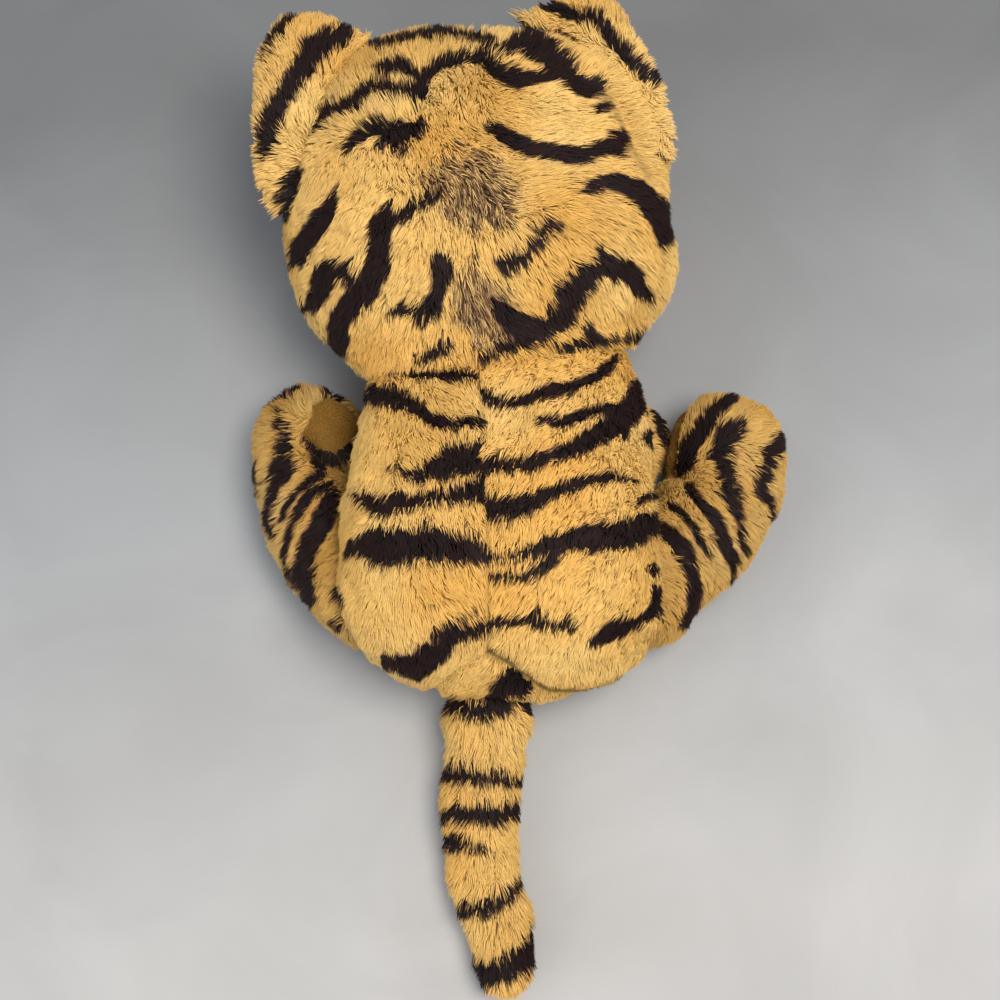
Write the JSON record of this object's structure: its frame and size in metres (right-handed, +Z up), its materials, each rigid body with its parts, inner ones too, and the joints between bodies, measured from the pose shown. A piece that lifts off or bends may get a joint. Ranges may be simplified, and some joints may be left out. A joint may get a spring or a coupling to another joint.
{
  "type": "plush tiger",
  "caption": "Floppy stuffed tiger lying on its belly: striped fur panels over soft filling, with turning head, folding ears, and swinging legs and tail.",
  "frame": {"origin": "on the flat that the belly rests on, on the tiger's middle plane, below the middle of the body", "axes": "+X to the tiger's right side, +Y from tail to head, +Z up, away from the belly"},
  "size_m": [0.237, 0.4167, 0.1276],
  "materials": {
    "golden_fur": "golden tan plush pile with dark tiger stripes",
    "cream_fur": "cream plush pile",
    "sole_fabric": "short tan pile",
    "filling": "white polyester fibre",
    "bag_cloth": "plain woven cloth",
    "dark_plastic": "polished dark brown plastic",
    "washer_plastic": "plain moulded plastic"
  },
  "bodies": {
    "body": {"back_panel_left": "golden_fur", "back_panel_right": "golden_fur", "belly_panel": "golden_fur", "seat_panel": "golden_fur", "body_stuffing": "filling", "pellet_bag": "bag_cloth"},
    "head": {"face_panel": "golden_fur", "head_panel_left": "golden_fur", "head_panel_right": "golden_fur", "muzzle": "cream_fur", "head_stuffing": "filling", "eye_left": "dark_plastic", "eye_right": "dark_plastic", "nose": "dark_plastic", "eye_left_washer": "washer_plastic", "eye_right_washer": "washer_plastic", "nose_washer": "washer_plastic"},
    "ear_left": {"ear_left_back": "golden_fur", "ear_left_front": "cream_fur"},
    "ear_right": {"ear_right_back": "golden_fur", "ear_right_front": "cream_fur"},
    "hind_leg_left": {"hind_leg_left_upper_panel": "golden_fur", "hind_leg_left_lower_panel": "golden_fur", "hind_leg_left_sole": "sole_fabric", "hind_leg_left_stuffing": "filling"},
    "hind_leg_right": {"hind_leg_right_upper_panel": "golden_fur", "hind_leg_right_lower_panel": "golden_fur", "hind_leg_right_sole": "sole_fabric", "hind_leg_right_stuffing": "filling"},
    "front_leg_left": {"front_leg_left_upper_panel": "golden_fur", "front_leg_left_lower_panel": "golden_fur", "front_leg_left_stuffing": "filling"},
    "front_leg_right": {"front_leg_right_upper_panel": "golden_fur", "front_leg_right_lower_panel": "golden_fur", "front_leg_right_stuffing": "filling"},
    "tail": {"tail_upper_panel": "golden_fur", "tail_lower_panel": "golden_fur", "tail_stuffing": "filling"}
  },
  "joints": [
    {"name": "neck_turn", "type": "hinge", "parent": "body", "child": "head", "pos_m": [0, 0.087, 0.06], "axis": [-0.1324, 0.9418, 0.309], "range_deg": [-15, 15]},
    {"name": "ear_left_fold", "type": "hinge", "parent": "head", "child": "ear_left", "pos_m": [-0.07474, 0.18051, 0.098], "axis": [0.4067, 0.9135, 0], "range_deg": [-20, 20], "stiffness_Nm_per_rad": 0.05},
    {"name": "ear_right_fold", "type": "hinge", "parent": "head", "child": "ear_right", "pos_m": [0.03645, 0.19412, 0.098], "axis": [0.6428, -0.766, 0], "range_deg": [-20, 20], "stiffness_Nm_per_rad": 0.05},
    {"name": "hip_left", "type": "hinge", "parent": "body", "child": "hind_leg_left", "pos_m": [-0.058, -0.011, 0.0275], "axis": [0, 0, 1], "range_deg": [0, 60]},
    {"name": "hip_right", "type": "hinge", "parent": "body", "child": "hind_leg_right", "pos_m": [0.062, -0.008, 0.0275], "axis": [0, 0, 1], "range_deg": [-60, 0]},
    {"name": "shoulder_left", "type": "hinge", "parent": "body", "child": "front_leg_left", "pos_m": [-0.021, 0.068, 0.016], "axis": [0, 0, 1], "range_deg": [-4, 30]},
    {"name": "shoulder_right", "type": "hinge", "parent": "body", "child": "front_leg_right", "pos_m": [0.021, 0.068, 0.016], "axis": [0, 0, 1], "range_deg": [-40, 14]},
    {"name": "tail_swing", "type": "hinge", "parent": "body", "child": "tail", "pos_m": [-0.005, -0.068, 0.024], "axis": [0, 0, 1], "range_deg": [-35, 35]}
  ]
}
